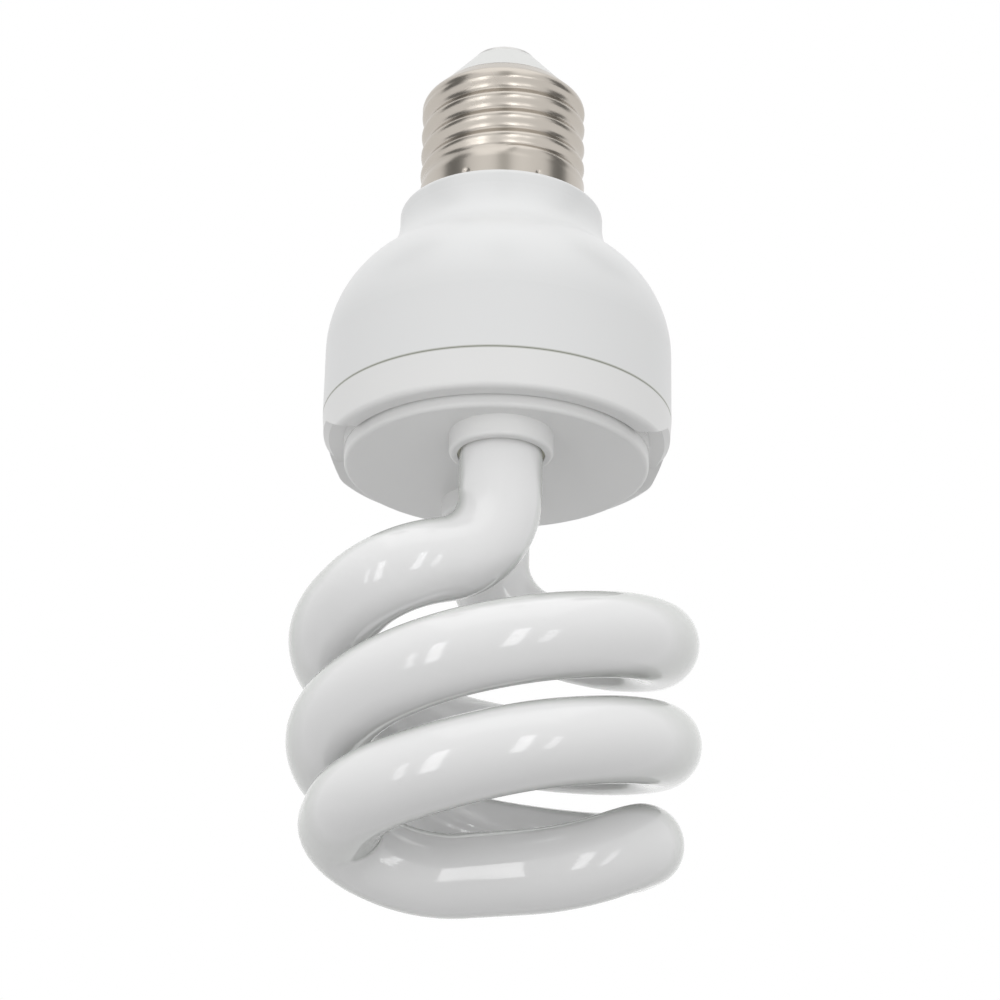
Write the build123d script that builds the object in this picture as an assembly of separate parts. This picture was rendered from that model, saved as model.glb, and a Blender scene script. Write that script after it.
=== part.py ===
"""Compact spiral lamp: a screw cap, a moulded ballast housing and a double spiral tube.

Millimetres, +Z up. The origin is on the lamp's axis at the lower rim of the cap, where the
lampholder's edge meets the housing. The cap is above it and the tube hangs below it.
"""
import os
from math import asin, atan2, cos, degrees, hypot, pi, radians, sin, tan

from build123d import *

# cap
crest_r = 13.2            # over the crests of the rolled thread, and over the plain skirt
barrel_h = 18.9           # the upright barrel ends here
shoulder_round = 2.0      # round between the barrel and the cone above it
shoulder_turn = 45.0      # degrees the cone leans inwards
shell_wall = 0.35         # plated brass sheet
shell_mouth_r = 10.6      # where the sheet ends on the insulator
insulator_h = 5.7         # from the sheet's edge to the contact
insulator_wall = 1.55
insulator_grip = 1.8      # the insulator's foot reaches this far down inside the cone
insulator_rim = 0.6       # its top stands out this far past the contact
contact_r = 5.0
contact_t = 0.7
contact_rise = 0.6        # the contact is dished up towards its hole
contact_hole_r = 0.9
contact_neck = 3.4        # depth of the rivet neck under the contact
solder_r = 2.1
solder_h = 0.6

# upper housing
wall = 1.8
neck_r = 16.15
neck_h = 2.5              # straight part of the neck, below the cap's rim
lip_round = 1.0
body_r = 27.1             # at the seam
dome_round = 18.9         # shoulder of the dome
dome_h = 25.3             # the shoulder becomes upright this far below the rim
seam_z = -36.3            # parting line of the two mouldings
spigot_h = 9.0            # the sleeve that goes up into the cap
seat_h = 3.8              # its thick foot, which fills the cap's skirt
seat_slope = 0.6
spigot_r = 11.6
spigot_bore = 9.8
rib_t = 1.2               # four webs stiffen the neck inside
rib_r = 13.2
rib_foot_r = 18.3
rib_foot_z = -12.0
rib_top_h = 3.0           # the web's slope starts this far under the straight neck

# lower cover
band_h = 6.3
band_lean = 0.4           # the band is this much smaller at its lower edge
band_round = 0.9
ledge_w = 3.15            # flat from the band's outside in to the round plate
disc_proud = 1.8          # the round plate stands this far below the ledge
disc_round = 0.7
crease_w = 0.5            # groove round the plate
crease_h = 0.5
floor_t = 2.0
tongue_h = 4.0            # ring that goes up inside the upper housing
tongue_wall = 1.4
bead = 0.3                # snap bead on the tongue
bead_share = 0.55         # of the tongue's height
pocket_half = 11.5        # each side pocket, half its width at the ledge
pocket_roof_half = 7.4    # and at its roof, so that its ends slope
pocket_land = 0.15        # from the plate's edge to the pocket
pocket_bevel = 0.7        # between the roof and the outside of the band
pocket_h = 2.4
pocket_wall = 1.3         # thickness of the pocket's roof and inner wall

# tube
tube_d = 12.5
tube_bend_r = 1.6         # round at the sealed ends
coil_r = 24.63            # to the middle of the glass
coil_pitch = 31.5         # drop of one strand in one turn
coil_top_z = -73.45       # middle of the glass where a strand first passes the side
coil_lean = (1.9, -1.0)   # degrees about x and y that the coil leans, as bent glass does
coil_shift = (0.0, -0.86)                    # and how far it stands off the axis
lean_z = -60.0            # height about which it leans
coil_start = -165.0       # degrees, the coil's first full corner
leg_x = 0.7
leg_y = -13.2
leg_bend_z = -63.3        # corner at the foot of a leg
lead_in_turn = -129.5     # degrees, where the leg's bend reaches the coil
lead_in_z = -67.85
turn_step = 30.0          # degrees between two corners of the coil
turn_end = -499.0         # degrees, where the coil turns in to cross below the axis
turn_ease = (0.97, 1.03)  # the last two corners, as shares of the others' radius
cross_out = (-23.4, -0.8, -103.2)
cross_in = (-11.0, 3.0, -108.45)
run_share = 0.48          # of the shorter run, taken by each tangent arc
collar_r = 7.85
collar_drop = 3.4         # the collar stands this far below the plate
collar_round = 0.6
collar_gap = 0.35         # between the glass and the collar
collar_low = 1.4          # the collar's inner end lies this far under the sealed end
tube_end_z = -38.6        # the sealed ends inside the housing
cement_h = 6.6
cement_gap = 0.02

# circuit board and how it is held
board_clear = 0.65        # from the board's edge to the tongue
board_t = 1.6
board_z = -33.0           # upper face
lug_w = 3.0
lug_l = 2.4
lug_turns = (45.0, 135.0, 225.0, 315.0)
hook_turns = (160.0, 340.0)
hook_reach = 0.9          # over the board's edge
hook_h = 1.2
lead_d = 0.7
lead_gap = 0.15
lead_tail = 1.2
lead_bend = 0.7
post_w = 1.0
post_h = 5.0
post_tail = 2.4
post_places = ((9.0, 16.9), (-9.0, 16.9), (9.0, -16.9), (-9.0, -16.9))

# what the board carries; axials are radius, length and lead span, films are x, y, z and span
axials = {
    "rectifier_diode_1": (1.35, 4.6, 6.6),
    "rectifier_diode_2": (1.35, 4.6, 6.6),
    "rectifier_diode_3": (1.35, 4.6, 6.6),
    "rectifier_diode_4": (1.35, 4.6, 6.6),
    "diac": (0.9, 3.2, 6.0),
    "start_resistor_1": (1.15, 5.5, 8.5),
    "start_resistor_2": (1.15, 5.5, 8.5),
    "base_resistor": (0.95, 3.6, 6.0),
    "emitter_resistor": (1.1, 5.0, 7.5),
}
films = {
    "resonant_capacitor": (11.0, 4.6, 10.0, 7.5),
    "dc_block_capacitor": (12.0, 4.6, 9.0, 7.5),
    "start_capacitor": (5.0, 3.0, 6.0, 3.0),
}
places = {
    "bulk_capacitor": (-2.6, 0.0),
    "transistor_1": (-15.0, 6.0),
    "transistor_2": (-12.9, 11.6),
    "resonant_capacitor": (12.2, 9.2),
    "dc_block_capacitor": (0.6, 17.2),
    "start_capacitor": (-4.5, 10.5),
    "filter": (-15.5, -2.0),
    "choke": (-1.2, -12.5),
    "toroid": (13.0, -2.0),
    "rectifier_diode_1": (12.8, -8.9),
    "rectifier_diode_2": (12.4, -11.8),
    "rectifier_diode_3": (-14.3, -7.6),
    "rectifier_diode_4": (-13.2, -10.8),
    "diac": (2.6, 11.5),
    "start_resistor_1": (-2.0, 6.4),
    "start_resistor_2": (-2.0, 3.4),
    "base_resistor": (8.2, 13.2),
    "emitter_resistor": (-6.0, -3.4),
}
can_r, can_h, can_foot, can_span = 6.25, 20.0, 19.0, 5.0
can_crimp_z, can_crimp_r = 2.4, 0.8
transistor_w, transistor_t, transistor_h, transistor_lift = 8.0, 2.7, 11.0, 3.0
transistor_leg = (0.7, 0.5)
transistor_pitch, transistor_hole_r, transistor_hole_z = 2.3, 1.6, 8.0
toroid_r0, toroid_r1, toroid_h = 2.6, 5.0, 4.0
winding_d, winding_step = 0.6, 20.0
windings = ((90, 3), (210, 3), (330, 4))     # middle in degrees, loops
choke_w, choke_d, choke_h, choke_leg = 16.0, 5.0, 13.0, 4.4
choke_yoke, choke_lift = 2.2, 1.0
bobbin_wall, bobbin_over, bobbin_pins = 0.8, 2.8, (4.0, 4.4)
drum_r, drum_h, drum_waist_r, drum_flange, drum_span = 3.9, 9.0, 1.9, 1.3, 5.0
fuse_xy, fuse_z, fuse_r, fuse_l = (6.6, 0.0), -13.0, 1.7, 9.0
fuse_lead_turns = (15.0, 22.0)               # heights where its upper lead bends
neutral_xy = (7.6, 5.2)

fit_gap = 0.15            # between mouldings, and round what stands in a hole
touch = 0.05              # between pieces that rest on each other
bite = 0.3                # how far joined lumps of one moulding run into each other

lean = radians(shoulder_turn)
cone_r = crest_r - shoulder_round * (1 - cos(lean))
cone_z = barrel_h + shoulder_round * sin(lean)
mouth_z = cone_z + (cone_r - shell_mouth_r) / tan(lean)
contact_z = mouth_z + insulator_h
contact_hub_r = contact_hole_r + 1.2
contact_neck_r = contact_hole_r + 0.9
contact_top = contact_z + contact_rise + contact_t + touch
body_in_r = body_r - wall
bead_z = seam_z + tongue_h * bead_share
band_z = seam_z - band_h
band_bottom_r = body_r - band_lean
disc_r = band_bottom_r - ledge_w
plate_z = band_z - disc_proud
tongue_r = body_in_r - fit_gap
tongue_in_r = tongue_r - tongue_wall
cover_floor_z = band_z + floor_t
pocket_in = disc_r + pocket_land
collar_top = tube_end_z - collar_low
board_r = tongue_in_r - board_clear
board_under = board_z - board_t


def turned(*edges):
    """Solid of revolution of a closed outline drawn as radius and height."""
    return revolve(Plane.XZ * make_face(Curve() + list(edges)), Axis.Z)


def rod(x, y, z0, r, h):
    """Upright cylinder standing on z0."""
    return Pos(x, y, z0) * Cylinder(r, h, align=(Align.CENTER, Align.CENTER, Align.MIN))


def ring(r_in, r_out, z0, z1):
    """Plain ring between two heights."""
    return rod(0, 0, z0, r_out, z1 - z0) - rod(0, 0, z0, r_in, z1 - z0)


def sector(r_in, r_out, z0, z1, middle, half):
    """Part of a ring, half degrees either way of its middle."""
    outline = Plane.XZ * (Pos((r_in + r_out) / 2, (z0 + z1) / 2) * Rectangle(r_out - r_in, z1 - z0))
    return Rot(0, 0, middle - half) * revolve(outline, Axis.Z, 2 * half)


def block(x, y, z0, dx, dy, dz):
    """Box standing on z0, centred on x, y."""
    return Pos(x, y, z0) * Box(dx, dy, dz, align=(Align.CENTER, Align.CENTER, Align.MIN))


def wire(points, bend):
    """Lead wire along a bent route."""
    path = FilletPolyline(*points, radius=bend) if len(points) > 2 else Line(*points)
    return sweep(Plane(origin=path @ 0, z_dir=path % 0) * Circle(lead_d / 2), path=path)


def cone_point(r, depth):
    """Point of the shell's cone at radius r, taken inwards by depth across the sheet."""
    z = cone_z + (cone_r - r) / tan(lean)
    return (r - depth * cos(lean), z - depth * sin(lean))


def cap_shell():
    """Sheet shell of the cap: upright barrel, a small round and the cone up to the insulator."""
    middle = (crest_r - shoulder_round, barrel_h)
    outer = CenterArc(middle, shoulder_round, 0, shoulder_turn)
    inner = CenterArc(middle, shoulder_round - shell_wall, 0, shoulder_turn)
    return turned(
        Line((crest_r, 0), (crest_r, barrel_h)), outer,
        Polyline(outer @ 1, cone_point(shell_mouth_r, 0), cone_point(shell_mouth_r, shell_wall),
                 inner @ 1),
        inner,
        Polyline((crest_r - shell_wall, barrel_h), (crest_r - shell_wall, 0), (crest_r, 0)),
    )


def insulator():
    """Glassy cone that carries the contact, moulded into the cone of the shell."""
    seat = shell_wall + touch
    foot = cone_point(shell_mouth_r + insulator_grip, seat)
    out = cone_point(shell_mouth_r - touch, 0)
    reach = insulator_wall / cos(lean)
    return turned(Polyline(
        foot, cone_point(shell_mouth_r - touch, seat), out,
        (contact_r + insulator_rim, contact_z), (contact_r, contact_z),
        (contact_hub_r, contact_z + contact_rise), (contact_hub_r, contact_z - reach),
        (contact_r + insulator_rim - reach / 2, contact_z - reach),
        (foot[0] - reach, foot[1]), foot))


def centre_contact():
    """Dished brass disc with a rivet neck down through the insulator."""
    low, high = contact_z + touch, contact_z + contact_rise + touch
    neck_z = high - contact_neck
    return turned(Polyline(
        (contact_r, low), (contact_hub_r, high), (contact_neck_r, high), (contact_neck_r, neck_z),
        (contact_hole_r, neck_z), (contact_hole_r, high + contact_t), (contact_hub_r, high + contact_t),
        (contact_r, low + contact_t), (contact_r, low)))


def contact_solder():
    """Low dome of solder over the hole in the contact."""
    ball_r = (solder_r ** 2 + solder_h ** 2) / (2 * solder_h)
    dome = Pos(0, 0, contact_top + solder_h - ball_r) * Sphere(ball_r)
    return dome & rod(0, 0, contact_top, solder_r + 1, solder_h + 1)


def dome_outline(inset):
    """Neck, flare and shoulder of the upper housing, drawn inset from the outside."""
    across = neck_r - (body_r - dome_round)
    high = dome_h - neck_h
    flare = (across ** 2 + high ** 2 - dome_round ** 2) / (2 * (dome_round - across))
    middle = (body_r - dome_round, -dome_h)
    flare_middle = (neck_r + flare, -neck_h)
    turn = degrees(atan2(flare_middle[1] - middle[1], flare_middle[0] - middle[0]))
    shoulder = CenterArc(middle, dome_round - inset, 0, turn)
    neck = CenterArc(flare_middle, flare + inset, 180 + turn, -turn)
    return shoulder, neck


def upper_housing():
    """Moulded shell from the seam to the cap, with the sleeve that the cap is pressed on."""
    s_out, n_out = dome_outline(0)
    s_in, n_in = dome_outline(wall)
    groove = bead + fit_gap
    lip = CenterArc((neck_r - lip_round, -lip_round), lip_round, 0, 90)
    foot_r = crest_r - shell_wall - touch
    shell = turned(
        Line((body_r, seam_z), s_out @ 0), s_out, n_out,
        Line(n_out @ 1, lip @ 0), lip,
        Polyline(lip @ 1, (foot_r, 0), (foot_r, seat_h), (spigot_r, seat_h + seat_slope),
                 (spigot_r, spigot_h), (spigot_bore, spigot_h), (spigot_bore, -wall),
                 (neck_r - wall, -wall), n_in @ 1),
        n_in, s_in,
        Polyline(s_in @ 0, (body_in_r, bead_z + groove + bead), (body_in_r + groove, bead_z),
                 (body_in_r, bead_z - groove - bead), (body_in_r, seam_z), (body_r, seam_z)),
    )
    rib_out = neck_r - wall / 2
    rib = Plane.XZ * make_face(Polyline(
        (rib_r, -wall), (rib_out, -wall), (rib_out, -neck_h), (rib_foot_r + wall / 2, rib_foot_z),
        (rib_foot_r, rib_foot_z), (rib_r, -neck_h - rib_top_h), (rib_r, -wall)))
    for k in range(4):
        shell += Rot(0, 0, 45 + 90 * k) * (Pos(0, rib_t / 2, 0) * extrude(rib, rib_t))
    return shell


def leg_spots():
    """Axes of the two legs; the second is the first turned half round."""
    return ((leg_x, leg_y), (-leg_x, -leg_y))


def cover_ring():
    """Band, ledge, crease, round plate and tongue of the lower cover, in one turning."""
    corner = CenterArc((band_bottom_r - band_round, band_z + band_round), band_round, -90, 90)
    edge = CenterArc((disc_r - disc_round, plate_z + disc_round), disc_round, -90, 90)
    crease_z = band_z + crease_h
    return turned(
        Line((body_r, seam_z - touch), corner @ 1), corner,
        Polyline(corner @ 0, (disc_r + crease_w, band_z), (disc_r + crease_w, crease_z),
                 (disc_r, crease_z), edge @ 1),
        edge,
        Polyline(edge @ 0, (0, plate_z), (0, plate_z + floor_t), (disc_r - floor_t, plate_z + floor_t),
                 (disc_r - floor_t, cover_floor_z), (tongue_in_r, cover_floor_z),
                 (tongue_in_r, seam_z + tongue_h), (tongue_r, seam_z + tongue_h),
                 (tongue_r, bead_z + bead), (tongue_r + bead, bead_z), (tongue_r, bead_z - bead),
                 (tongue_r, seam_z - touch), (body_r, seam_z - touch)),
    )


def pocket_cut():
    """Space of one side pocket, open outwards, with sloping ends and a bevelled outer edge."""
    low, top, out = band_z - floor_t, band_z + pocket_h, body_r + bite
    bevel_r = band_bottom_r - pocket_bevel
    slope = (pocket_half - pocket_roof_half) / pocket_h
    high = top + out - bevel_r
    narrow = pocket_roof_half - slope * (high - top)
    room = turned(Polyline((pocket_in, low), (pocket_in, top), (bevel_r, top), (out, high),
                           (out, low), (pocket_in, low)))
    slot = Plane.YZ * make_face(Polyline((-pocket_half, low), (-pocket_half, band_z), (-narrow, high),
                                         (narrow, high), (pocket_half, band_z), (pocket_half, low),
                                         (-pocket_half, low)))
    return room & extrude(slot, out)


def lower_cover():
    """The cover's ring with its two side pockets, its tube collars and the board's lugs."""
    body = cover_ring()
    half = degrees(asin(pocket_half / pocket_in))
    for side in (0, 180):
        body += sector(pocket_in - pocket_wall, tongue_in_r + bite, cover_floor_z - bite,
                       band_z + pocket_h + pocket_wall, side, half)
        body -= Rot(0, 0, side) * pocket_cut()
    hole_r = tube_d / 2 + collar_gap
    low = plate_z - collar_drop
    for x, y in leg_spots():
        collar = rod(x, y, low, collar_r, collar_top - low)
        collar = fillet(collar.edges().filter_by(GeomType.CIRCLE).sort_by(Axis.Z)[0], collar_round)
        body = body + collar - rod(x, y, low - 1, hole_r, collar_top - low + 2)
    return body + board_lugs()


def board_lugs():
    """Posts on the cover's floor that the board rests on, and two hooks over its edge."""
    base = cover_floor_z - bite
    rest = board_under - touch
    stem_r, out_r = board_r + fit_gap, tongue_in_r + bite
    tip = board_z + touch
    hook = Plane.XZ * make_face(Polyline(
        (out_r, base), (out_r, tip + hook_h), (stem_r, tip + hook_h),
        (stem_r - hook_reach, tip + hook_h / 3), (stem_r - hook_reach, tip), (stem_r, tip),
        (stem_r, base), (out_r, base)))
    lugs = [Rot(0, 0, turn) * block(board_r - lug_l / 2, 0, base, lug_l, lug_w, rest - base)
            for turn in lug_turns]
    lugs += [Rot(0, 0, turn) * (Pos(0, lug_w / 2, 0) * extrude(hook, lug_w)) for turn in hook_turns]
    return lugs


def strand_corners():
    """Corners of one strand's route from its sealed end to the crossing below the axis."""
    corner_r = coil_r / cos(radians(turn_step / 2))
    t = radians(lead_in_turn)
    spots = [(leg_x, leg_y, tube_end_z), (leg_x, leg_y, leg_bend_z),
             (coil_r * cos(t), coil_r * sin(t), lead_in_z)]
    count = round((coil_start - turn_end) / turn_step)
    for k in range(count + 1):
        turn = coil_start + (turn_end - coil_start) * k / count
        t = radians(turn)
        r = corner_r * (turn_ease[k - count - 1] if k >= count - 1 else 1)
        z = coil_top_z + coil_pitch * (turn + 180) / 360
        spots.append((r * cos(t), r * sin(t), z))
    return spots + [cross_out, cross_in]


def leaned(p):
    """Where a corner of the coil comes to lie when the coil leans on its two legs."""
    x_lean, y_lean = coil_lean
    spot = (p - Vector(0, 0, lean_z)).rotate(Axis.X, x_lean).rotate(Axis.Y, y_lean)
    return spot + Vector(*coil_shift, lean_z)


def tube_route():
    """Whole route of the glass: one strand down, across, and its twin back up."""
    down = strand_corners()
    up = [(-x, -y, z) for x, y, z in reversed(down)]
    spots = [Vector(*p) for p in down + up]
    spots = spots[:2] + [leaned(p) for p in spots[2:-2]] + spots[-2:]
    radii = []
    for a, b, c in zip(spots, spots[1:], spots[2:]):
        turn = radians((b - a).get_angle(c - b))
        run = min((b - a).length, (c - b).length)
        radii.append(run_share * run / tan(turn / 2))
    return FilletPolyline(*spots, radius=radii)


def spiral_tube():
    """Sealed glass tube, solid because nothing shows into it."""
    route = tube_route()
    glass = sweep(Plane(origin=route @ 0, z_dir=route % 0) * Circle(tube_d / 2), path=route)
    ends = glass.edges().filter_by(GeomType.CIRCLE).filter_by(lambda e: e.center().Z > tube_end_z - touch)
    print("tube volume over section times length:",
          round(glass.volume / (route.length * pi * tube_d ** 2 / 4), 5))
    return fillet(ends, tube_bend_r)


def tube_cement(x, y):
    """Set cement in the cup between a leg's end and its collar."""
    low = tube_end_z - cement_h
    high = collar_top - low
    cup = rod(x, y, low, tube_d / 2 + collar_gap - cement_gap, high)
    return cup - rod(x, y, low, tube_d / 2 + cement_gap, high)


def standing(body, leads):
    """Part that stands on the board: its body and straight leads down through the board."""
    for x, y in leads:
        body += rod(x, y, -board_t - lead_tail, lead_d / 2, board_t + lead_tail + touch + 2 * bite)
    return body


def axial(r, length, span):
    """Part that lies on the board along X, with both leads bent down through it."""
    high = r + touch
    body = Pos(0, 0, high) * Rot(0, 90, 0) * Cylinder(r, length)
    body = fillet(body.edges().filter_by(GeomType.CIRCLE), r * 0.3)
    for side in (-1, 1):
        body += wire([(side * (length / 2 - bite), 0, high), (side * span / 2, 0, high),
                      (side * span / 2, 0, -board_t - lead_tail)], lead_bend)
    return body


def bulk_capacitor():
    """Can with a crimped neck near its foot; it stands in the bore of the cap on long leads."""
    edge = bite * 2
    crimp = CenterArc((can_r + edge / 2, can_crimp_z), can_crimp_r, 112, 136)
    can = turned(
        Polyline((0, 0), (can_r - edge, 0), (can_r, edge), crimp @ 1), crimp,
        Polyline(crimp @ 0, (can_r, can_h - edge), (can_r - edge, can_h), (0, can_h), (0, 0)),
    )
    body = Pos(0, 0, can_foot) * can
    for side in (-1, 1):
        body += rod(side * can_span / 2, 0, -board_t - lead_tail, lead_d / 2,
                    can_foot + board_t + lead_tail + touch)
    return body


def transistor():
    """Flat power transistor: moulded body with a screw hole and three legs in a row."""
    body = block(0, 0, transistor_lift, transistor_w, transistor_t, transistor_h)
    body = chamfer(body.edges().filter_by(Axis.Z), transistor_t / 6)
    hole_z = transistor_lift + transistor_hole_z
    body -= Pos(0, 0, hole_z) * Rot(90, 0, 0) * Cylinder(transistor_hole_r, 2 * transistor_t)
    for k in (-1, 0, 1):
        body += block(k * transistor_pitch, 0, -board_t - lead_tail, *transistor_leg,
                      board_t + lead_tail + transistor_lift + touch)
    return body


def film_capacitor(dx, dy, dz, span):
    """Dipped film capacitor with rounded edges."""
    body = fillet(block(0, 0, touch, dx, dy, dz).edges(), min(dx, dy) * 0.3)
    return standing(body, ((-span / 2, 0), (span / 2, 0)))


def toroid_core():
    """Small ferrite ring, lying on the board on its windings."""
    low = winding_d + 2 * touch
    return ring(toroid_r0, toroid_r1, low, low + toroid_h)


def toroid_winding(middle, loops):
    """One winding of a few separate loops round the ring's section."""
    gap = winding_d / 2 + touch
    mid_z = winding_d + 2 * touch + toroid_h / 2
    dx, dz = toroid_r1 - toroid_r0 + 2 * gap, toroid_h + 2 * gap
    frame = Plane(origin=((toroid_r0 + toroid_r1) / 2, 0, mid_z), z_dir=(0, 1, 0), x_dir=(1, 0, 0))
    loop = frame * (RectangleRounded(dx + winding_d, dz + winding_d, winding_d)
                    - Rectangle(dx - winding_d, dz - winding_d))
    turn = extrude(loop, winding_d / 2, both=True)
    first = middle - winding_step * (loops - 1) / 2
    return Compound(children=[Rot(0, 0, first + winding_step * k) * turn for k in range(loops)])


def choke_core():
    """Pair of E-shaped ferrites closed into one frame with a middle leg."""
    frame = block(0, 0, choke_lift, choke_w, choke_d, choke_h)
    window = (choke_w - choke_leg) / 2 - choke_yoke
    for side in (-1, 1):
        frame -= block(side * (choke_leg + window) / 2, 0, choke_lift + choke_yoke,
                       window, choke_d + 2, choke_h - 2 * choke_yoke)
    return frame


def bobbin_sizes():
    """Foot, top and outline of the bobbin's tube, inside and outside."""
    low = choke_lift + choke_yoke + fit_gap
    high = choke_lift + choke_h - choke_yoke - fit_gap
    inner = (choke_leg + 2 * fit_gap, choke_d + 2 * fit_gap)
    outer = tuple(v + 2 * bobbin_wall for v in inner)
    return low, high, inner, outer


def choke_bobbin():
    """Moulded bobbin round the middle leg, with its pins down through the board."""
    low, high, inner, outer = bobbin_sizes()
    flange = (choke_w - 2 * choke_yoke - 2 * fit_gap, choke_d + 2 * bobbin_over)
    body = block(0, 0, low, *outer, high - low)
    for z in (low, high - bobbin_wall):
        body += block(0, 0, z, *flange, bobbin_wall)
    body -= block(0, 0, low, *inner, high - low)
    for x in (-bobbin_pins[0], bobbin_pins[0]):
        for y in (-bobbin_pins[1], bobbin_pins[1]):
            body += rod(x, y, -board_t - lead_tail, lead_d / 2, board_t + lead_tail + low + bite)
    return body


def choke_coil():
    """Wound copper between the bobbin's flanges."""
    low, high, _, outer = bobbin_sizes()
    z0, z1 = low + bobbin_wall + touch, high - bobbin_wall - touch
    dx, dy = choke_w - 2 * choke_yoke - 3 * bite, choke_d + 2 * bobbin_over - 2 * bite
    body = fillet(block(0, 0, z0, dx, dy, z1 - z0).edges().filter_by(Axis.Z), bobbin_wall)
    return body - block(0, 0, z0, outer[0] + 2 * touch, outer[1] + 2 * touch, z1 - z0)


def filter_drum():
    """Ferrite drum of the supply filter, on two leads."""
    body = turned(Polyline(
        (0, touch), (drum_r, touch), (drum_r, drum_flange), (drum_waist_r, drum_flange),
        (drum_waist_r, drum_h - drum_flange), (drum_r, drum_h - drum_flange), (drum_r, drum_h),
        (0, drum_h), (0, touch)))
    return standing(body, ((-drum_span / 2, 0), (drum_span / 2, 0)))


def filter_winding():
    """Copper wound in the drum's waist."""
    return ring(drum_waist_r + touch, drum_r - bite, drum_flange + touch, drum_h - drum_flange - touch)


def lead_spots():
    """Every hole in the board: place and radius of what passes through."""
    spans = {name: sizes[-1] for name, sizes in (axials | films).items()}
    spans |= {"bulk_capacitor": can_span, "filter": drum_span}
    spots = []
    for name, span in spans.items():
        x, y = places[name]
        spots += [(x - span / 2, y, lead_d / 2), (x + span / 2, y, lead_d / 2)]
    for name in ("transistor_1", "transistor_2"):
        x, y = places[name]
        spots += [(x + k * transistor_pitch, y, hypot(*transistor_leg) / 2) for k in (-1, 0, 1)]
    x, y = places["choke"]
    spots += [(x + i * bobbin_pins[0], y + j * bobbin_pins[1], lead_d / 2)
              for i in (-1, 1) for j in (-1, 1)]
    spots += [(*fuse_xy, lead_d / 2), (*neutral_xy, lead_d / 2)]
    return spots + [(px, py, hypot(post_w, post_w) / 2) for px, py in post_places]


def circuit_board():
    """Round board with a hole for each lead."""
    board = rod(0, 0, board_under, board_r, board_t)
    for x, y, r in lead_spots():
        board -= rod(x, y, board_under, r + lead_gap, board_t)
    return board


def seated(shape, name):
    """Put a part that was drawn about its own foot at its place on the board."""
    return Pos(*places[name], board_z) * shape


def fusible_resistor():
    """Resistor that stands in the bore; its upper lead runs to the hole in the contact."""
    x, y = fuse_xy
    body = rod(x, y, fuse_z, fuse_r, fuse_l)
    body = fillet(body.edges().filter_by(GeomType.CIRCLE), fuse_r * 0.3)
    foot = board_under - lead_tail
    down = rod(x, y, foot, lead_d / 2, fuse_z - foot + touch)
    up = wire([(x, y, fuse_z + fuse_l - touch), (x, y, fuse_lead_turns[0]), (0, 0, fuse_lead_turns[1]),
               (0, 0, contact_top - touch)], 2 * lead_bend)
    return body + down + up


def neutral_lead():
    """Bare wire from the board, over the sleeve's edge to the inside of the shell."""
    x, y = neutral_xy
    reach = (crest_r - shell_wall - touch) / hypot(x, y)
    high = spigot_h + lead_d
    return wire([(x, y, board_under - lead_tail), (x, y, high), (x * reach, y * reach, high)], lead_bend)


def wire_posts():
    """Four square pins through the board that the tube's leads are wound on."""
    return Compound(children=[
        block(x, y, board_under - post_tail, post_w, post_w, board_t + post_tail + post_h)
        for x, y in post_places])


def tube_lead(post):
    """Wire from a sealed end of the tube to the side of its post, under the board."""
    x, y = post
    leg = leg_spots()[0] if y < 0 else leg_spots()[1]
    side = 1 if x > 0 else -1
    high = board_under - lead_tail - lead_d / 2 - 2 * touch
    foot = (leg[0] + side * tube_d / 6, leg[1], tube_end_z + touch)
    stop = (x - side * (post_w / 2 + lead_d / 2 + touch), y, high)
    return wire([foot, (foot[0], foot[1], high), stop], lead_bend)


def on_board():
    """Everything that stands on the board, at its place."""
    shapes = {
        "bulk_capacitor": bulk_capacitor(),
        "transistor_1": transistor(),
        "transistor_2": transistor(),
    }
    shapes |= {name: axial(*sizes) for name, sizes in axials.items()}
    shapes |= {name: film_capacitor(*sizes) for name, sizes in films.items()}
    nodes = {name: seated(shape, name) for name, shape in shapes.items()}
    nodes |= {
        "filter_drum": seated(filter_drum(), "filter"),
        "filter_winding": seated(filter_winding(), "filter"),
        "choke_core": seated(choke_core(), "choke"),
        "choke_bobbin": seated(choke_bobbin(), "choke"),
        "choke_coil": seated(choke_coil(), "choke"),
        "toroid_core": seated(toroid_core(), "toroid"),
    }
    for k, (middle, loops) in enumerate(windings, 1):
        nodes[f"toroid_winding_{k}"] = seated(toroid_winding(middle, loops), "toroid")
    return nodes


def build():
    near, far = leg_spots()
    nodes = {
        "cap_shell": cap_shell(),
        "base_insulator": insulator(),
        "centre_contact": centre_contact(),
        "contact_solder": contact_solder(),
        "upper_housing": upper_housing(),
        "lower_cover": lower_cover(),
        "spiral_tube": spiral_tube(),
        "tube_cement_near": tube_cement(*near),
        "tube_cement_far": tube_cement(*far),
        "circuit_board": circuit_board(),
        "fusible_resistor": fusible_resistor(),
        "neutral_lead": neutral_lead(),
        "wire_posts": wire_posts(),
    }
    nodes |= {f"tube_lead_{k}": tube_lead(post) for k, post in enumerate(post_places, 1)}
    return nodes | on_board()


if __name__ == "__main__":
    os.makedirs("parts", exist_ok=True)
    for name, shape in build().items():
        export_step(shape, f"parts/{name}.step")
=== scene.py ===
"""Compact spiral lamp in its white studio. Metres, +Z up, the origin at the cap's lower rim."""

from math import atan2, cos, degrees, hypot, pi, radians, sin, tan

import bmesh
import bpy
from mathutils import Matrix, Vector


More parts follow.
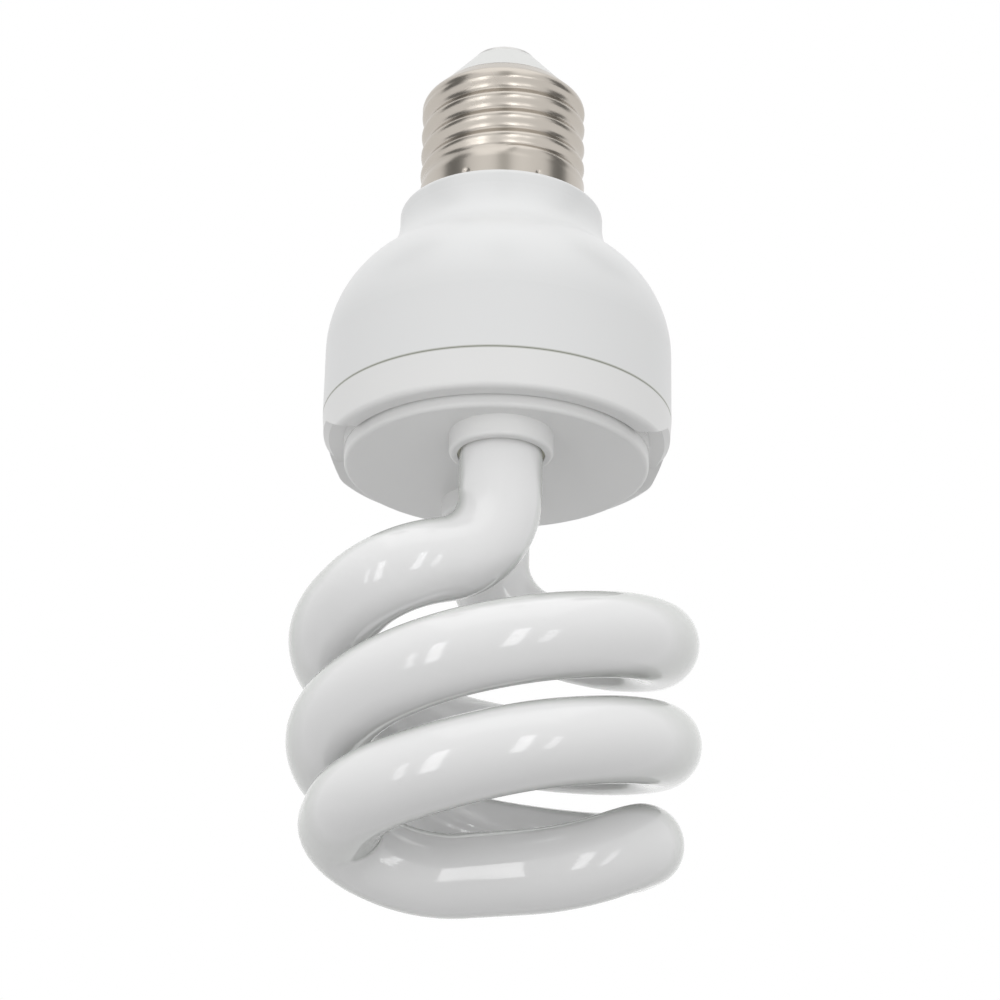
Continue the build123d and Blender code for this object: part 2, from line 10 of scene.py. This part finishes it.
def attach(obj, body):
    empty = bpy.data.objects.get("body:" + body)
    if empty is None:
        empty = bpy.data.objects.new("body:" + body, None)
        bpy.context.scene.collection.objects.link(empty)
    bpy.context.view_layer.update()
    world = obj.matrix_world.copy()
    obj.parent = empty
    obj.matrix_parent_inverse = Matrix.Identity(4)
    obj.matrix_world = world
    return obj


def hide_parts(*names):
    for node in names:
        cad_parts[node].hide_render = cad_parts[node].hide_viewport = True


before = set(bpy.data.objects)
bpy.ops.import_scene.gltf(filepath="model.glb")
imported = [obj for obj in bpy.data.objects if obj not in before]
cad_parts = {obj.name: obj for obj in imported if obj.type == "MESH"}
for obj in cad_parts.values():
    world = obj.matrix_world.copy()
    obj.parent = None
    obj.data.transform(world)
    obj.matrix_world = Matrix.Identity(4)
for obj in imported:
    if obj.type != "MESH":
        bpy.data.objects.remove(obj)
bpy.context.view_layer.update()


# Cap
# A nickel-plated brass shell, its coarse thread rolled into the sheet. The plain skirt below the
# thread is punched in a ring of dimples, and above it the sheet leans in to the insulator. The
# lowest ridge runs out on the camera's right.

def mesh_object(name, bm, material, smooth=True):
    """Turn a bmesh into a scene object with one material."""
    data = bpy.data.meshes.new(name)
    bm.normal_update()
    bm.to_mesh(data)
    bm.free()
    data.materials.append(material)
    for polygon in data.polygons:
        polygon.use_smooth = smooth
    made = bpy.data.objects.new(name, data)
    bpy.context.scene.collection.objects.link(made)
    return made


def node_group(name, inputs, outputs):
    """Empty shader group with its sockets; inputs are (name, kind, default)."""
    group = bpy.data.node_groups.new(name, "ShaderNodeTree")
    for label, kind, default in inputs:
        socket = group.interface.new_socket(name=label, in_out="INPUT", socket_type=kind)
        if default is not None:
            socket.default_value = default
    for label, kind in outputs:
        group.interface.new_socket(name=label, in_out="OUTPUT", socket_type=kind)
    return group, group.nodes.new("NodeGroupInput"), group.nodes.new("NodeGroupOutput")


def add(tree, kind, **values):
    """New node; in_0, in_1 and so on set the inputs of that number, the rest set properties."""
    node = tree.nodes.new(kind)
    for key, value in values.items():
        if key.startswith("in_"):
            node.inputs[int(key[3:])].default_value = value
        else:
            setattr(node, key, value)
    return node


def new_material(name, **values):
    """Material with a Principled shader; keyword values go on the shader's own sockets."""
    made = bpy.data.materials.new(name)
    made.use_nodes = True
    shader = made.node_tree.nodes["Principled BSDF"]
    for key, value in values.items():
        shader.inputs[key.replace("_", " ")].default_value = value
    return made, made.node_tree, shader


# Fine grain and slow tone changes that every moulded or painted surface here carries.
finish_group, g_in, g_out = node_group(
    "surface_finish",
    [("Colour", "NodeSocketColor", None), ("Tone", "NodeSocketFloat", 0.03),
     ("Grain scale", "NodeSocketFloat", 1500.0), ("Grain", "NodeSocketFloat", 0.05),
     ("Roughness", "NodeSocketFloat", 0.4), ("Wear", "NodeSocketFloat", 0.06)],
    [("Colour", "NodeSocketColor"), ("Roughness", "NodeSocketFloat"), ("Normal", "NodeSocketVector")])
g_pos = add(finish_group, "ShaderNodeTexCoord")
g_slow = add(finish_group, "ShaderNodeTexNoise", in_2=38.0, in_3=3.0)
g_fine = add(finish_group, "ShaderNodeTexNoise", in_3=2.0)
g_even = add(finish_group, "ShaderNodeMath", operation="SUBTRACT", in_1=0.5)
g_amount = add(finish_group, "ShaderNodeMath", operation="MULTIPLY")
g_value = add(finish_group, "ShaderNodeMath", operation="ADD", in_1=1.0)
g_tone = add(finish_group, "ShaderNodeHueSaturation")
g_wear = add(finish_group, "ShaderNodeMath", operation="MULTIPLY")
g_rough = add(finish_group, "ShaderNodeMath", operation="ADD")
g_bump = add(finish_group, "ShaderNodeBump")
g_bump.inputs["Distance"].default_value = 0.0001     # metres
for a, b in (
        (g_pos.outputs["Object"], g_slow.inputs["Vector"]),
        (g_pos.outputs["Object"], g_fine.inputs["Vector"]),
        (g_in.outputs["Grain scale"], g_fine.inputs["Scale"]),
        (g_slow.outputs["Fac"], g_even.inputs[0]),
        (g_even.outputs[0], g_amount.inputs[0]), (g_in.outputs["Tone"], g_amount.inputs[1]),
        (g_amount.outputs[0], g_value.inputs[0]),
        (g_value.outputs[0], g_tone.inputs["Value"]), (g_in.outputs["Colour"], g_tone.inputs["Color"]),
        (g_even.outputs[0], g_wear.inputs[0]), (g_in.outputs["Wear"], g_wear.inputs[1]),
        (g_wear.outputs[0], g_rough.inputs[0]), (g_in.outputs["Roughness"], g_rough.inputs[1]),
        (g_fine.outputs["Fac"], g_bump.inputs["Height"]), (g_in.outputs["Grain"], g_bump.inputs["Strength"]),
        (g_tone.outputs["Color"], g_out.inputs["Colour"]), (g_rough.outputs[0], g_out.inputs["Roughness"]),
        (g_bump.outputs["Normal"], g_out.inputs["Normal"])):
    finish_group.links.new(a, b)


def finished(name, colour, rough, tone=0.03, grain_scale=1500.0, grain=0.05, wear=0.06, **values):
    """Material whose colour, roughness and normal come through the surface finish group."""
    made, tree, shader = new_material(name, **values)
    group = add(tree, "ShaderNodeGroup", node_tree=finish_group)
    group.inputs["Colour"].default_value = (*colour, 1)
    group.inputs["Tone"].default_value = tone
    group.inputs["Grain scale"].default_value = grain_scale
    group.inputs["Grain"].default_value = grain
    group.inputs["Roughness"].default_value = rough
    group.inputs["Wear"].default_value = wear
    tree.links.new(group.outputs["Colour"], shader.inputs["Base Color"])
    tree.links.new(group.outputs["Roughness"], shader.inputs["Roughness"])
    tree.links.new(group.outputs["Normal"], shader.inputs["Normal"])
    return made


nickel = finished("nickel", (0.53, 0.49, 0.44), 0.28, tone=0.08, grain_scale=900.0, grain=0.02,
                  wear=0.06, Metallic=1.0)

crest_r = 0.0132
thread_depth = 0.0009
pitch = 0.00363
thread_phase = 0.396      # share of the pitch by which the crests stand above the rim at turn 0
first_ridge = 1           # whole pitches from the rim to the lowest ridge
run_out_z = 0.0052        # the lowest ridge doesn't go below this
run_out_turn = (radians(-92), radians(-76))
skirt_fade = (0.0038, 0.0076)                # the groove deepens from the skirt over these heights
thread_fade = (0.0180, 0.0190)               # and fades out under the round over these
top_ridge = 5             # the ridge with this number rises into the plain end, where it fades
barrel_h = 0.0189
cap_round = 0.002
lean_in = radians(45)     # slope of the cone above the round
mouth_r = 0.0106
sheet = 0.00035
around = 360
rows = 116
round_rows = 8
cone_rows = 6
dimple_z = 0.00165
dimple_w = 0.0006
dimple_depth = 0.00022
dimple_count = 7
dimple_turns = [radians(-90 + 360 * (k + 0.5) / dimple_count) for k in range(dimple_count)]


def ease(value, low, high):
    """Smooth step from 0 at low to 1 at high."""
    share = min(1.0, max(0.0, (value - low) / (high - low)))
    return (3 - 2 * share) * share ** 2


def ridge(turn, z):
    """How far the rolled ridges stand out at an angle and height, from 0 in a groove to 1."""
    high = 0.0
    for n in range(first_ridge, top_ridge + 1):
        crest_z = pitch * (turn / (2 * pi) + thread_phase + n)
        strength = 1.0
        if n == first_ridge:
            crest_z = max(crest_z, run_out_z)
            strength = ease(turn, *run_out_turn)
        away = abs(z - crest_z) / pitch
        if away < 0.5:
            high = max(high, strength * (0.5 + 0.5 * cos(2 * pi * away)))
    return high


def thread_radius(turn, z):
    """Radius of the barrel: skirt, rolled thread and the plain end under the round."""
    depth = thread_depth * ease(z, *skirt_fade) * (1 - ease(z, *thread_fade))
    return crest_r - depth * (1 - ridge(turn, z))


def dimple(turn, z):
    """Depth of the punched marks in the skirt."""
    deep = 0.0
    for middle in dimple_turns:
        across = (turn - middle + pi) % (2 * pi) - pi
        far = hypot(across * crest_r, z - dimple_z) / dimple_w
        deep = max(deep, (1 - far * far) ** 2 if far < 1 else 0.0)
    return dimple_depth * deep


cap_mesh = bmesh.new()
barrel = [cap_mesh.verts.new((crest_r, 0, barrel_h * k / rows)) for k in range(rows + 1)]
cone = [barrel[-1]]
for k in range(1, round_rows + 1):
    a = lean_in * k / round_rows
    cone.append(cap_mesh.verts.new((crest_r - cap_round * (1 - cos(a)), 0, barrel_h + cap_round * sin(a))))
end = cone[-1].co
inwards = end.x - mouth_r
upwards = inwards / tan(lean_in)
for k in range(1, cone_rows + 1):
    share = k / cone_rows
    cone.append(cap_mesh.verts.new((end.x - inwards * share, 0, end.z + upwards * share)))
line = barrel + cone[1:]
edges = [cap_mesh.edges.new((a, b)) for a, b in zip(line, line[1:])]
bmesh.ops.spin(cap_mesh, geom=line + edges, cent=(0, 0, 0), axis=(0, 0, 1), angle=2 * pi,
               steps=around, use_merge=True)
for v in cap_mesh.verts:
    if v.co.z <= barrel_h + 1e-6:
        turn = atan2(v.co.y, v.co.x)
        r = thread_radius(turn, v.co.z) - dimple(turn, v.co.z)
        v.co.x, v.co.y = r * cos(turn), r * sin(turn)
bmesh.ops.recalc_face_normals(cap_mesh, faces=cap_mesh.faces[:])
cap = mesh_object("cap_shell_detail", cap_mesh, nickel)
wall = cap.modifiers.new("sheet", "SOLIDIFY")
wall.thickness = sheet
wall.offset = -1
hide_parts("cap_shell")
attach(cap, "root")


# Top of the cap
# The glassy insulator closes the cone of the shell and carries the contact disc, which is joined
# to its wire by a low dome of solder. All of it is pale and a little worn.

insulator_mat = finished("insulator", (0.68, 0.685, 0.67), 0.32, tone=0.06, grain=0.06)
contact_mat = finished("contact", (0.74, 0.735, 0.72), 0.4, tone=0.06, grain=0.1, Metallic=0.5)
solder_mat = finished("solder", (0.84, 0.84, 0.83), 0.42, tone=0.08, grain=0.12, Metallic=0.8)


def dress(name, material):
    """Give a carried-over piece its own material."""
    node = bpy.data.objects[name]
    node.data.materials.clear()
    node.data.materials.append(material)


dress("base_insulator", insulator_mat)
dress("centre_contact", contact_mat)
dress("contact_solder", solder_mat)


# Housing
# Two smooth plastic mouldings in pale grey-white, parted by a fine seam. The lower one carries
# the raised round plate with a collar for each leg of the tube, and two side pockets.

# The parting line's groove is not modelled: the seam_shade group paints its shade as a darker band in the
# colour, seam_half either side of seam_z.
seam_z = -0.0363
seam_half = 0.0003
seam_shade_colour = (0.30, 0.31, 0.25, 1)
seam_shade, s_in, s_out = node_group(
    "seam_shade",
    [("Colour", "NodeSocketColor", None), ("Shade", "NodeSocketColor", None),
     ("Height", "NodeSocketFloat", 0.0), ("Half width", "NodeSocketFloat", 0.0003)],
    [("Colour", "NodeSocketColor")])
s_pos = add(seam_shade, "ShaderNodeTexCoord")
s_split = add(seam_shade, "ShaderNodeSeparateXYZ")
s_away = add(seam_shade, "ShaderNodeMath", operation="SUBTRACT")
s_far = add(seam_shade, "ShaderNodeMath", operation="ABSOLUTE")
s_share = add(seam_shade, "ShaderNodeMath", operation="DIVIDE", use_clamp=True)
s_left = add(seam_shade, "ShaderNodeMath", operation="SUBTRACT", in_0=1.0)
s_mix = add(seam_shade, "ShaderNodeMix", data_type="RGBA")
for a, b in (
        (s_pos.outputs["Object"], s_split.inputs[0]),
        (s_split.outputs["Z"], s_away.inputs[0]), (s_in.outputs["Height"], s_away.inputs[1]),
        (s_away.outputs[0], s_far.inputs[0]),
        (s_far.outputs[0], s_share.inputs[0]), (s_in.outputs["Half width"], s_share.inputs[1]),
        (s_share.outputs[0], s_left.inputs[1]), (s_left.outputs[0], s_mix.inputs["Factor"]),
        (s_in.outputs["Colour"], s_mix.inputs[6]), (s_in.outputs["Shade"], s_mix.inputs[7]),
        (s_mix.outputs[2], s_out.inputs["Colour"])):
    seam_shade.links.new(a, b)


def moulding(name, colour, rough):
    """Housing plastic whose colour darkens along the parting line: painted shade of the seam's groove."""
    made = finished(name, colour, rough, tone=0.02, grain=0.03, Coat_Weight=0.1, Coat_Roughness=0.2)
    tree = made.node_tree
    finish = next(n for n in tree.nodes if n.type == "GROUP")
    seam = add(tree, "ShaderNodeGroup", node_tree=seam_shade)
    seam.inputs["Shade"].default_value = seam_shade_colour
    seam.inputs["Height"].default_value = seam_z
    seam.inputs["Half width"].default_value = seam_half
    shader = tree.nodes["Principled BSDF"]
    tree.links.new(finish.outputs["Colour"], seam.inputs["Colour"])
    tree.links.new(seam.outputs["Colour"], shader.inputs["Base Color"])
    return made


housing_mat = moulding("housing", (0.745, 0.75, 0.75), 0.36)
cover_mat = moulding("cover", (0.78, 0.78, 0.775), 0.38)
dress("upper_housing", housing_mat)
dress("lower_cover", cover_mat)


# Tube
# One sealed glass tube, white inside with phosphor: a leg comes down out of each collar, bends
# out into the coil, and the two strands wind round together and meet in a run below the axis.

tube_mat = finished("tube_glass", (0.8, 0.8, 0.8), 0.12, tone=0.01, grain_scale=70.0, grain=0.5,
                    wear=0.0, Coat_Weight=0.6, Coat_Roughness=0.02, Subsurface_Weight=0.6,
                    Subsurface_Radius=(1.0, 1.0, 1.0), Subsurface_Scale=0.004)
tube_tree = tube_mat.node_tree
tube_finish = next(n for n in tube_tree.nodes if n.type == "GROUP")
# The base colour darkens and turns grey-green towards the tube's outline as the surface turns from the view:
# painted shade for the dark rim of the glass wall, with a little of the glass's own tint.
tube_facing = add(tube_tree, "ShaderNodeLayerWeight", in_0=0.5)
tube_rim_shade = add(tube_tree, "ShaderNodeValToRGB")
tube_rim_shade.color_ramp.elements[0].position = 0.5
tube_rim_shade.color_ramp.elements[0].color = (0.79, 0.79, 0.79, 1)
tube_rim_shade.color_ramp.elements[1].position = 0.88
tube_rim_shade.color_ramp.elements[1].color = (0.45, 0.47, 0.44, 1)
tube_tree.links.new(tube_facing.outputs["Facing"], tube_rim_shade.inputs["Fac"])
tube_tree.links.new(tube_rim_shade.outputs["Color"], tube_finish.inputs["Colour"])

tube_r = 0.00625
tube_sides = 64
leg_x = 0.0007
leg_y = -0.0132
tube_end = -0.0386
end_round = 0.0016
round_steps = 6
leg_bend = -0.0633
lead_in_turn = -129.5        # degrees, as are the coil's other turns
lead_in_z = -0.06785
coil_r = 0.02463
coil_pitch = 0.0315
coil_top = -0.07345
coil_start = -165.0
turn_end = -499.0
turn_step = 30.0
turn_ease = (0.97, 1.03)     # the last two corners of a strand stand this far in and out
coil_lean = (1.9, -1.0)      # degrees about X and Y
coil_shift = (0.0, -0.00086)
lean_z = -0.06
cross_out = (-0.0234, -0.0008, -0.1032)
cross_in = (-0.011, 0.003, -0.10845)
bend_share = 0.48            # how much of the shorter run at a corner its arc takes up
bend_step = 2.5              # degrees
run_step = 0.004


def strand():
    """Corners of one strand from its sealed end to the crossing, in metres."""
    t = radians(lead_in_turn)
    spots = [(leg_x, leg_y, tube_end), (leg_x, leg_y, leg_bend),
             (coil_r * cos(t), coil_r * sin(t), lead_in_z)]
    count = round((coil_start - turn_end) / turn_step)
    for k in range(count + 1):
        turn = coil_start + (turn_end - coil_start) * k / count
        out = coil_r / cos(radians(turn_step / 2)) * (turn_ease[k - count - 1] if k >= count - 1 else 1)
        spots.append((out * cos(radians(turn)), out * sin(radians(turn)),
                      coil_top + coil_pitch * (turn + 180) / 360))
    return [Vector(p) for p in spots + [cross_out, cross_in]]


def leaned(spot):
    """Where a corner of the coil lies once the coil leans on its legs."""
    x_lean, y_lean = (radians(v) for v in coil_lean)
    lean = Matrix.Rotation(y_lean, 3, "Y") @ Matrix.Rotation(x_lean, 3, "X")
    return lean @ (spot - Vector((0, 0, lean_z))) + Vector((*coil_shift, lean_z))


down = strand()
corners = down + [Vector((-p.x, -p.y, p.z)) for p in reversed(down)]
corners = corners[:2] + [leaned(p) for p in corners[2:-2]] + corners[-2:]
first_spot = Vector((leg_x, leg_y, tube_end - end_round))
last_spot = Vector((-leg_x, -leg_y, tube_end - end_round))
glass = bmesh.new()
ring = bmesh.ops.create_circle(glass, segments=tube_sides, radius=tube_r,
                               matrix=Matrix.Translation(first_spot))
front = ring["verts"]
loop = list({e for v in front for e in v.link_edges})
at = first_spot
for a, b, c in zip(corners, corners[1:], corners[2:]):
    into, out_of = (b - a).normalized(), (c - b).normalized()
    turn = into.angle(out_of)
    run = bend_share * min((b - a).length, (c - b).length)
    bend = run / tan(turn / 2)
    entry = b - into * run
    steps = max(2, round(degrees(turn) / bend_step))
    axis = into.cross(out_of).normalized()
    middle = entry + axis.cross(into).normalized() * bend
    move = entry - at
    pieces = max(1, round(move.length / run_step))
    for k in range(pieces):
        grown = bmesh.ops.extrude_edge_only(glass, edges=loop)["geom"]
        front = [g for g in grown if isinstance(g, bmesh.types.BMVert)]
        loop = [g for g in grown if isinstance(g, bmesh.types.BMEdge)]
        bmesh.ops.translate(glass, verts=front, vec=move / pieces)
    spun = bmesh.ops.spin(glass, geom=front + loop, cent=middle, axis=axis, angle=turn, steps=steps,
                          use_merge=False)["geom_last"]
    front = [g for g in spun if isinstance(g, bmesh.types.BMVert)]
    loop = [g for g in spun if isinstance(g, bmesh.types.BMEdge)]
    at = middle + Matrix.Rotation(turn, 3, axis) @ (entry - middle)
grown = bmesh.ops.extrude_edge_only(glass, edges=loop)["geom"]
front = [g for g in grown if isinstance(g, bmesh.types.BMVert)]
bmesh.ops.translate(glass, verts=front, vec=last_spot - at)
open_edges = [e for e in glass.edges if len(e.link_faces) == 1]
for spot in (first_spot, last_spot):
    ring_edges = [e for e in open_edges if (e.verts[0].co - spot).length < tube_r * 1.01]
    for k in range(1, round_steps + 1):
        grown = bmesh.ops.extrude_edge_only(glass, edges=ring_edges)["geom"]
        verts = [g for g in grown if isinstance(g, bmesh.types.BMVert)]
        ring_edges = [g for g in grown if isinstance(g, bmesh.types.BMEdge)]
        a0 = radians(90 * (k - 1) / round_steps)
        a1 = radians(90 * k / round_steps)
        r0 = tube_r - end_round * (1 - cos(a0))
        r1 = tube_r - end_round * (1 - cos(a1))
        for v in verts:
            v.co.x = spot.x + (v.co.x - spot.x) * r1 / r0
            v.co.y = spot.y + (v.co.y - spot.y) * r1 / r0
            v.co.z = spot.z + end_round * sin(a1)
    bmesh.ops.contextual_create(glass, geom=ring_edges)
bmesh.ops.remove_doubles(glass, verts=glass.verts[:], dist=1e-7)
bmesh.ops.recalc_face_normals(glass, faces=glass.faces[:])
tube = mesh_object("spiral_tube_detail", glass, tube_mat)
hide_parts("spiral_tube")
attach(tube, "root")


# Seal of the tube
# Where each leg enters its collar, a thin bead of set cement fills the gap and shows as an olive
# line round the glass.

seal_mat = finished("seal", (0.72, 0.71, 0.60), 0.7, tone=0.15, grain=0.3)
collar_bore_r = 0.00658
seal_low = -0.0474
seal_high = -0.0452
for name, x, y in (("seal_near", leg_x, leg_y), ("seal_far", -leg_x, -leg_y)):
    bead = bmesh.new()
    section = [bead.verts.new(p) for p in ((tube_r, 0, seal_low), (collar_bore_r, 0, seal_low),
                                           (collar_bore_r, 0, seal_high), (tube_r, 0, seal_high))]
    sides = [bead.edges.new((a, b)) for a, b in zip(section, section[1:] + section[:1])]
    bmesh.ops.spin(bead, geom=section + sides, cent=(0, 0, 0), axis=(0, 0, 1), angle=2 * pi,
                   steps=96, use_merge=True)
    bmesh.ops.translate(bead, verts=bead.verts[:], vec=(x, y, 0))
    bmesh.ops.recalc_face_normals(bead, faces=bead.faces[:])
    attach(mesh_object(name, bead, seal_mat, smooth=False), "root")


# Inside
# The board and all it carries lie behind the mouldings. They keep the part's own shapes and
# have plain finishes of their own.

inside = {
    "cement": ((0.72, 0.70, 0.66), 0.9, 0.0, ("tube_cement_near", "tube_cement_far")),
    "board": ((0.55, 0.42, 0.24), 0.6, 0.0, ("circuit_board",)),
    "tinned_wire": ((0.75, 0.75, 0.74), 0.3, 1.0,
                    ("tube_lead_1", "tube_lead_2", "tube_lead_3", "tube_lead_4", "wire_posts",
                     "neutral_lead")),
    "can_sleeve": ((0.05, 0.05, 0.06), 0.4, 0.0, ("bulk_capacitor",)),
    "ferrite": ((0.10, 0.10, 0.105), 0.7, 0.0, ("toroid_core", "choke_core", "filter_drum")),
    "copper": ((0.72, 0.34, 0.18), 0.3, 1.0,
               ("toroid_winding_1", "toroid_winding_2", "toroid_winding_3", "choke_coil",
                "filter_winding")),
    "bobbin": ((0.70, 0.66, 0.55), 0.5, 0.0, ("choke_bobbin",)),
    "black_moulding": ((0.03, 0.03, 0.03), 0.45, 0.0,
                       ("transistor_1", "transistor_2", "rectifier_diode_1", "rectifier_diode_2",
                        "rectifier_diode_3", "rectifier_diode_4")),
    "film_dip": ((0.45, 0.10, 0.05), 0.35, 0.0,
                 ("resonant_capacitor", "dc_block_capacitor", "start_capacitor")),
    "resistor_coat": ((0.62, 0.52, 0.36), 0.5, 0.0,
                      ("fusible_resistor", "start_resistor_1", "start_resistor_2", "base_resistor",
                       "emitter_resistor")),
    "diode_glass": ((0.55, 0.20, 0.10), 0.15, 0.0, ("diac",)),
}
for label, (colour, rough, metal, names) in inside.items():
    made = finished(label, colour, rough, tone=0.08, grain=0.1, Metallic=metal)
    for name in names:
        dress(name, made)


# Studio
# A white surround, dimmer towards the ground, with four narrow soft boxes in front, a large soft
# light above and small grey cards beside the bright cap. The camera looks up at the lamp from a
# little below its tube.

lamp_middle = -0.07
cap_middle = 0.032
surround = ((0.0, 0.30), (0.5, 0.74), (1.0, 1.0))     # straight down, level and straight up

world = bpy.data.worlds.new("studio")
bpy.context.scene.world = world
world.use_nodes = True
tree = world.node_tree
tree.nodes.clear()
path = add(tree, "ShaderNodeLightPath")
shiny = add(tree, "ShaderNodeMath", operation="MAXIMUM")
seen = add(tree, "ShaderNodeMath", operation="MAXIMUM")
bright = add(tree, "ShaderNodeBackground")
bright.inputs["Color"].default_value = (1, 1, 1, 1)
bright.inputs["Strength"].default_value = 1.0
fill = add(tree, "ShaderNodeBackground")
fill.inputs["Strength"].default_value = 1.0
way = add(tree, "ShaderNodeTexCoord")
height = add(tree, "ShaderNodeSeparateXYZ")
raised = add(tree, "ShaderNodeMath", operation="MULTIPLY_ADD", in_1=0.5, in_2=0.5)
glow = add(tree, "ShaderNodeValToRGB")
glow.color_ramp.elements.new(0.5)
for stop, (position, level) in zip(glow.color_ramp.elements, surround):
    stop.position = position
    stop.color = (level, level, level, 1)
tree.links.new(way.outputs["Generated"], height.inputs[0])
tree.links.new(height.outputs["Z"], raised.inputs[0])
tree.links.new(raised.outputs[0], glow.inputs["Fac"])
tree.links.new(glow.outputs["Color"], fill.inputs["Color"])
mix = add(tree, "ShaderNodeMixShader")
out = add(tree, "ShaderNodeOutputWorld")
tree.links.new(path.outputs["Is Glossy Ray"], shiny.inputs[0])
tree.links.new(path.outputs["Is Transmission Ray"], shiny.inputs[1])
tree.links.new(path.outputs["Is Camera Ray"], seen.inputs[0])
tree.links.new(shiny.outputs[0], seen.inputs[1])
tree.links.new(seen.outputs[0], mix.inputs["Fac"])
tree.links.new(fill.outputs[0], mix.inputs[1])
tree.links.new(bright.outputs[0], mix.inputs[2])
tree.links.new(mix.outputs[0], out.inputs["Surface"])


def placed(made, azimuth, elevation, far, aim_z):
    """Put a lamp or card round the object, facing it; azimuth 0 is the camera's side, +X is 90."""
    a, e = radians(azimuth), radians(elevation)
    aim = Vector((0, 0, aim_z))
    made.location = aim + far * Vector((sin(a) * cos(e), -cos(a) * cos(e), sin(e)))
    made.rotation_euler = (aim - made.location).to_track_quat("-Z", "Y").to_euler()
    bpy.context.scene.collection.objects.link(made)


def soft_light(name, azimuth, elevation, far, wide, high, power):
    """Rectangular area light."""
    data = bpy.data.lights.new(name, "AREA")
    data.shape = "RECTANGLE"
    data.size, data.size_y, data.energy = wide, high, power
    placed(bpy.data.objects.new(name, data), azimuth, elevation, far, lamp_middle)


def grey_card(name, azimuth, elevation, far, wide, high, tone):
    """Grey panel that only shiny surfaces see, as a photographer sets one beside bright metal."""
    card_mesh = bmesh.new()
    bmesh.ops.create_grid(card_mesh, x_segments=1, y_segments=1, size=0.5)
    bmesh.ops.scale(card_mesh, vec=(wide, high, 1), verts=card_mesh.verts[:])
    material, _, shader = new_material(name, Roughness=1.0)
    shader.inputs["Base Color"].default_value = (0, 0, 0, 1)
    shader.inputs["Specular IOR Level"].default_value = 0.0
    shader.inputs["Emission Color"].default_value = (tone, tone, tone * 0.97, 1)
    shader.inputs["Emission Strength"].default_value = 1.0
    data = bpy.data.meshes.new(name)
    card_mesh.to_mesh(data)
    card_mesh.free()
    data.materials.append(material)
    card = bpy.data.objects.new(name, data)
    placed(card, azimuth, elevation, far, cap_middle)
    for kind in ("camera", "diffuse", "transmission", "shadow"):
        setattr(card, "visible_" + kind, False)


soft_light("box left", -27, -11, 1.0, 0.14, 0.72, 0.92)
soft_light("box left far", -41, -13, 1.0, 0.08, 0.50, 0.25)
soft_light("box right", 15, -8, 1.0, 0.16, 0.66, 0.95)
soft_light("box right far", 34.5, -11, 1.0, 0.11, 0.46, 0.3)
soft_light("top", 0, 68, 1.1, 1.2, 1.2, 2.0)
grey_card("card left", -62, 0, 0.045, 0.024, 0.052, 0.16)
grey_card("card right", 74, 0, 0.045, 0.022, 0.052, 0.16)
grey_card("card middle", 2, 0, 0.050, 0.013, 0.052, 0.50)

camera_tilt = (113.1344, -1.0844, -0.5611)     # degrees
camera_data = bpy.data.cameras.new("camera")
camera_data.lens = 104.084
camera_data.sensor_width = 36.0
camera = bpy.data.objects.new("camera", camera_data)
camera.location = (0, -0.40896, -0.224055)
camera.rotation_euler = tuple(radians(v) for v in camera_tilt)
bpy.context.scene.collection.objects.link(camera)
bpy.context.scene.camera = camera
bpy.context.scene.view_settings.view_transform = "Standard"
